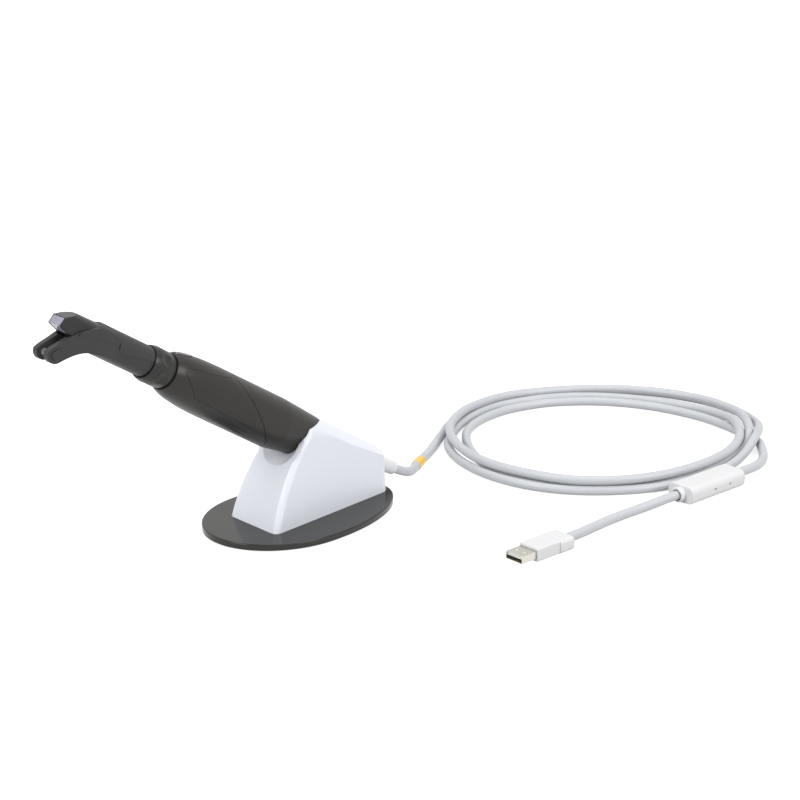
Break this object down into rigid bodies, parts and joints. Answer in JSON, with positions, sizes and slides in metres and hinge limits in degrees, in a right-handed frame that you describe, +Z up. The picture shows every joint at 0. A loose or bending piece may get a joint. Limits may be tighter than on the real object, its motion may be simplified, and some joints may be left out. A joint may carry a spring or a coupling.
{
  "type": "intraoral camera",
  "caption": "Handheld dental camera with a forked light tip, resting in a weighted bench stand, with a coiled lead, an inline box and a plug.",
  "frame": {"origin": "centre of the base plate's anti-slip pad, on the table, in the stand's mirror plane", "axes": "+Z up; +X from the handpiece's tip towards its tail and the cord; +Y to the left of that way; the handpiece and the stand are symmetric about Y = 0"},
  "size_m": [0.4834, 0.1966, 0.1477],
  "materials": {
    "stand_white": "satin",
    "base_dark": "gloss",
    "rubber_dark": "matte",
    "screw_steel": "satin",
    "handle_charcoal": "satin",
    "grip_soft": "matte",
    "window_smoke": "gloss",
    "nose_metal": "satin",
    "ring_charcoal": "satin",
    "head_black": "satin",
    "optic_glass": "polished",
    "light_clear": "polished",
    "board_green": "gloss",
    "chip_black": "gloss",
    "inner_plastic": "matte",
    "boot_white": "satin",
    "sleeve_grey": "matte",
    "cord_white": "satin",
    "marker_yellow": "gloss",
    "box_white": "satin",
    "plug_metal": "satin",
    "tongue_white": "matte",
    "contact_gold": "polished"
  },
  "bodies": {
    "root": {"stand_shell": "stand_white", "base_plate": "base_dark", "base_pad": "rubber_dark", "nose_orings": "rubber_dark", "ring_cushion": "rubber_dark", "stand_screws": "screw_steel", "grip_shell": "handle_charcoal", "rear_shell": "handle_charcoal", "grip_pad_left": "grip_soft", "grip_pad_right": "grip_soft", "status_window": "window_smoke", "nose_tube": "nose_metal", "lens_barrel": "nose_metal", "camera_head": "head_black", "head_prism": "optic_glass", "front_lens": "optic_glass", "rear_lens": "optic_glass", "sensor_board": "board_green", "main_board": "board_green", "box_board": "board_green", "image_sensor": "chip_black", "light_modules": "chip_black", "chassis": "inner_plastic", "cable_clamp": "inner_plastic", "cord_boot": "boot_white", "cord_lead": "cord_white", "cord_coil": "cord_white", "cord_loop": "cord_white", "cord_plug_lead": "cord_white", "marker_sleeve": "marker_yellow", "box_lower": "box_white", "box_upper": "box_white", "box_collar_front": "box_white", "box_collar_rear": "box_white", "plug_body": "box_white", "plug_shell": "plug_metal", "plug_tongue": "tongue_white", "plug_contacts": "contact_gold"},
    "ring": {"ring_switch": "ring_charcoal"},
    "tip": {"tip_sleeve": "sleeve_grey", "light_guide_left": "light_clear", "light_guide_right": "light_clear", "light_window_left": "light_clear", "light_window_right": "light_clear"}
  },
  "joints": [
    {"name": "ring_press", "type": "slide", "parent": "root", "child": "ring", "axis": [-0.5314, 0, -0.8471], "range_m": [0, 0.0006], "stiffness_N_per_m": 4000},
    {"name": "tip_pull", "type": "slide", "parent": "root", "child": "tip", "axis": [-0.8471, 0, 0.5314], "range_m": [0, 0.065]}
  ]
}
